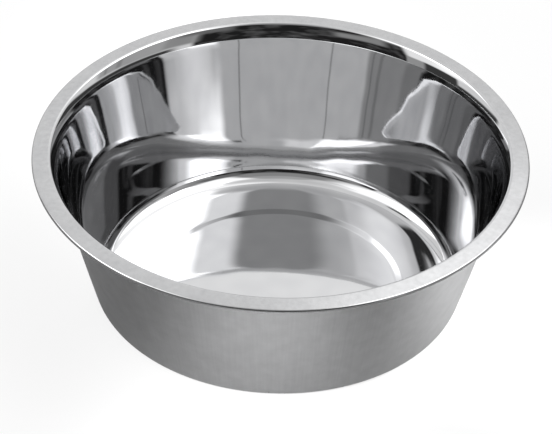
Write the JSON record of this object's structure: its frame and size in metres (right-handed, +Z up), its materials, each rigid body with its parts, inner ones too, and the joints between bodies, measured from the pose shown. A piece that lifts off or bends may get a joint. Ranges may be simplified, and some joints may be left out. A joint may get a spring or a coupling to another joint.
{
  "type": "pet feeding bowl",
  "caption": "Round stainless steel feeding bowl with a sloping wall, a floor pressed up in the middle and a flange whose edge is folded under.",
  "frame": {"origin": "on the surface that the bowl stands on, under the middle of the base", "axes": "+Z up along the axis that the bowl is turned about, +X to the right and +Y away from the viewer in the picture"},
  "size_m": [0.25, 0.25, 0.0833],
  "materials": {
    "stainless_sheet": "mirror-polished inside and on the flange, satin outside and underneath"
  },
  "bodies": {
    "root": {"bowl": "stainless_sheet"}
  },
  "joints": []
}
